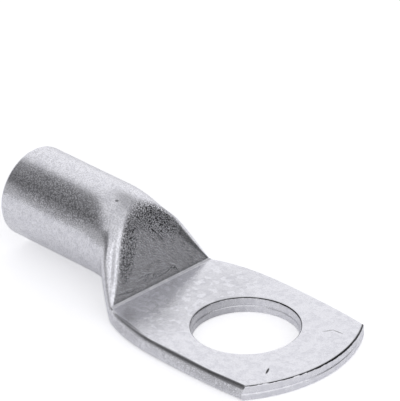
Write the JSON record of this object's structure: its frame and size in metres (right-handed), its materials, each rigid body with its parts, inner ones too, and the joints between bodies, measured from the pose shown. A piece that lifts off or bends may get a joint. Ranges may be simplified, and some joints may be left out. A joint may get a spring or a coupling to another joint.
{
  "type": "tubular cable lug",
  "caption": "One-piece crimp lug pressed from tube: a round blind barrel for a stranded conductor, a steep formed ramp and a flat offset palm with a stud hole.",
  "frame": {"origin": "centre of the stud hole on the contact face, the flat underside of the palm", "axes": "+X from the barrel's mouth towards the tip of the palm, +Z out of the contact face through the palm; the lug is symmetric about the XZ plane"},
  "size_m": [0.0488, 0.0214, 0.012],
  "materials": {
    "tinned_copper": "satin tin plate over copper, fine pressed grain"
  },
  "bodies": {
    "root": {"cable_lug": "tinned_copper"}
  },
  "joints": []
}
